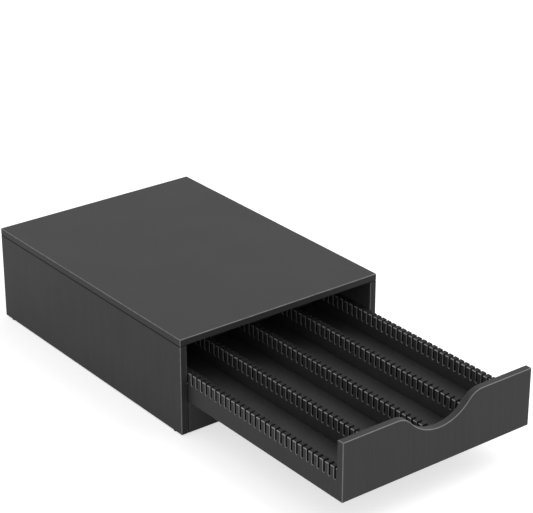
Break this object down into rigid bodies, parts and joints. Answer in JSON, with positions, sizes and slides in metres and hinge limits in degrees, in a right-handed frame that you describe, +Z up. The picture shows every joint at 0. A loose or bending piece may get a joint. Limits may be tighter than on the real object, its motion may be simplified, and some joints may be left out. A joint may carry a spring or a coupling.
{
  "type": "coffee pod drawer",
  "caption": "Low flat-topped wooden cabinet with a pull-out drawer that holds coffee capsules upright in lanes between slotted boards, opened by a finger scoop in its front.",
  "frame": {"origin": "on the table surface, at the middle of the footprint of the cabinet and its drawn-out drawer", "axes": "+Z up, +Y towards the cabinet's back, so the drawer comes out along -Y, and +X to the right seen from the front"},
  "size_m": [0.288, 0.665, 0.1235],
  "materials": {
    "black_board": "satin black foil with a faint straight grain",
    "base_sheet": "matt black thin sheet",
    "dowel_wood": "plain beech",
    "screw_steel": "zinc plated",
    "stop_plastic": "moulded black",
    "pad_rubber": "soft matt"
  },
  "bodies": {
    "cabinet": {"top_board": "black_board", "left_side_panel": "black_board", "right_side_panel": "black_board", "back_panel": "black_board", "deck_board": "black_board", "front_rail": "black_board", "top_dowels": "dowel_wood", "rail_dowels": "dowel_wood", "deck_dowels": "dowel_wood", "back_panel_dowels": "dowel_wood", "drawer_stops": "stop_plastic", "foot_pads": "pad_rubber"},
    "drawer": {"drawer_front": "black_board", "drawer_left_side": "black_board", "left_divider": "black_board", "middle_divider": "black_board", "right_divider": "black_board", "drawer_right_side": "black_board", "drawer_back": "black_board", "drawer_base": "base_sheet", "drawer_front_dowels": "dowel_wood", "drawer_back_screws": "screw_steel", "drawer_bumpers": "pad_rubber"}
  },
  "joints": [
    {"name": "drawer_slide", "type": "slide", "parent": "cabinet", "child": "drawer", "axis": [0, -1, 0], "range_m": [-0.272, 0.008]}
  ]
}
